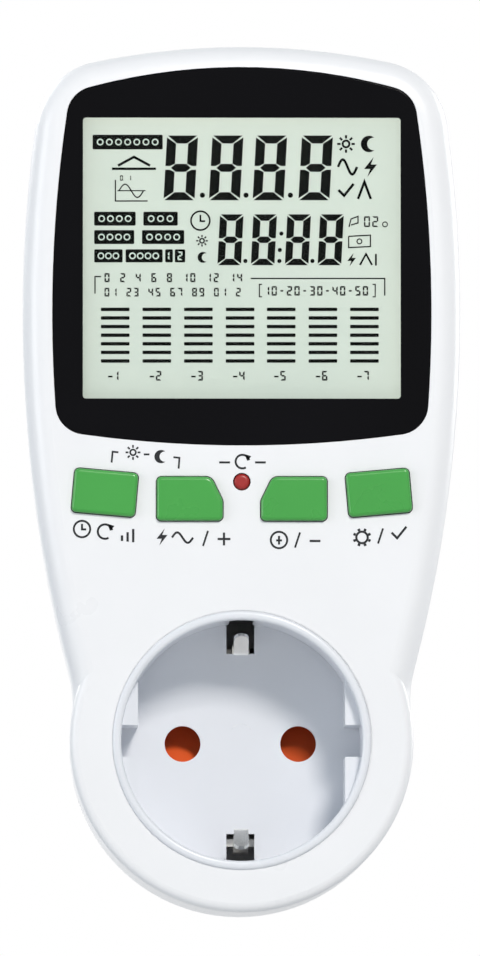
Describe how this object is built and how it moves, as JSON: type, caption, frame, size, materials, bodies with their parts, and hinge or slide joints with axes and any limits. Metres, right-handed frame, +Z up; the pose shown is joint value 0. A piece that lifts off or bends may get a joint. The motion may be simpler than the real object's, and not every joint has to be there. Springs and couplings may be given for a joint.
{
  "type": "smart energy monitor",
  "caption": "Plug-in energy meter with a display and push keys above a round earthed mains socket, and a matching plug behind.",
  "frame": {"origin": "centre of the rear plug's mating face, halfway between its two pins", "axes": "+Y along the pins, away from the housing; +Z up towards the display; +X to the right seen from the front"},
  "size_m": [0.0716, 0.076, 0.1418],
  "materials": {
    "housing": "satin",
    "bezel": "gloss",
    "window": "gloss",
    "lcd": "satin",
    "light_box": "matt",
    "white_plastic": "matt",
    "rubber": "matt",
    "board": "satin",
    "chip": "matt",
    "green_key": "satin",
    "red_key": "satin",
    "plunger": "matt",
    "shutter": "satin",
    "nickel": "satin",
    "brass": "satin",
    "steel": "satin",
    "capacitor": "satin",
    "varistor": "gloss",
    "can": "satin",
    "cell": "satin",
    "terminal": "matt",
    "live_insulation": "satin",
    "neutral_insulation": "satin"
  },
  "bodies": {
    "housing": {"front_cover": "housing", "rear_cover": "housing", "display_bezel": "bezel", "display_window": "window", "socket_cup": "housing", "live_pin": "nickel", "neutral_pin": "nickel", "lcd_glass": "lcd", "lcd_backlight": "light_box", "lcd_frame": "white_plastic", "zebra_strips": "rubber", "display_pcb": "board", "display_controller": "chip", "switch_bodies": "chip", "shutter_spring": "steel", "shutter_guide": "white_plastic", "contact_carrier": "white_plastic", "live_contact": "brass", "neutral_contact": "brass", "earth_post": "brass", "plug_earth_strap": "nickel", "pin_retainer": "white_plastic", "neutral_busbar": "brass", "power_pcb": "board", "x2_capacitor": "capacitor", "varistor": "varistor", "reservoir_capacitor": "can", "metering_chip": "chip", "metering_crystal": "steel", "shunt_resistor": "brass", "backup_battery": "cell", "board_header": "chip", "wire_terminals": "terminal", "live_in_wire": "live_insulation", "live_out_wire": "live_insulation", "neutral_wire": "neutral_insulation", "case_screws": "steel", "display_pcb_screws": "steel", "power_pcb_screws": "steel", "carrier_screws": "steel", "retainer_screws": "steel", "earth_strap": "nickel"},
    "shutter": {"shutter_slider": "shutter"},
    "history_key": {"history_button": "green_key", "history_plunger": "plunger"},
    "energy_key": {"energy_button": "green_key", "energy_plunger": "plunger"},
    "cost_key": {"cost_button": "green_key", "cost_plunger": "plunger"},
    "set_key": {"set_button": "green_key", "set_plunger": "plunger"},
    "reset_key": {"reset_button": "red_key", "reset_plunger": "plunger"}
  },
  "joints": [
    {"name": "shutter_slide", "type": "slide", "parent": "housing", "child": "shutter", "axis": [0, 0, -1], "range_m": [0, 0.006], "stiffness_N_per_m": 150, "springref_m": -0.004, "deforming": ["shutter_spring"]},
    {"name": "history_press", "type": "slide", "parent": "housing", "child": "history_key", "axis": [0, 1, 0], "range_m": [0, 0.0005], "stiffness_N_per_m": 1500, "springref_m": -0.0002},
    {"name": "energy_press", "type": "slide", "parent": "housing", "child": "energy_key", "axis": [0, 1, 0], "range_m": [0, 0.0005], "stiffness_N_per_m": 1500, "springref_m": -0.0002},
    {"name": "cost_press", "type": "slide", "parent": "housing", "child": "cost_key", "axis": [0, 1, 0], "range_m": [0, 0.0005], "stiffness_N_per_m": 1500, "springref_m": -0.0002},
    {"name": "set_press", "type": "slide", "parent": "housing", "child": "set_key", "axis": [0, 1, 0], "range_m": [0, 0.0005], "stiffness_N_per_m": 1500, "springref_m": -0.0002},
    {"name": "reset_press", "type": "slide", "parent": "housing", "child": "reset_key", "axis": [0, 1, 0], "range_m": [0, 0.0005], "stiffness_N_per_m": 1500, "springref_m": -0.0002}
  ]
}
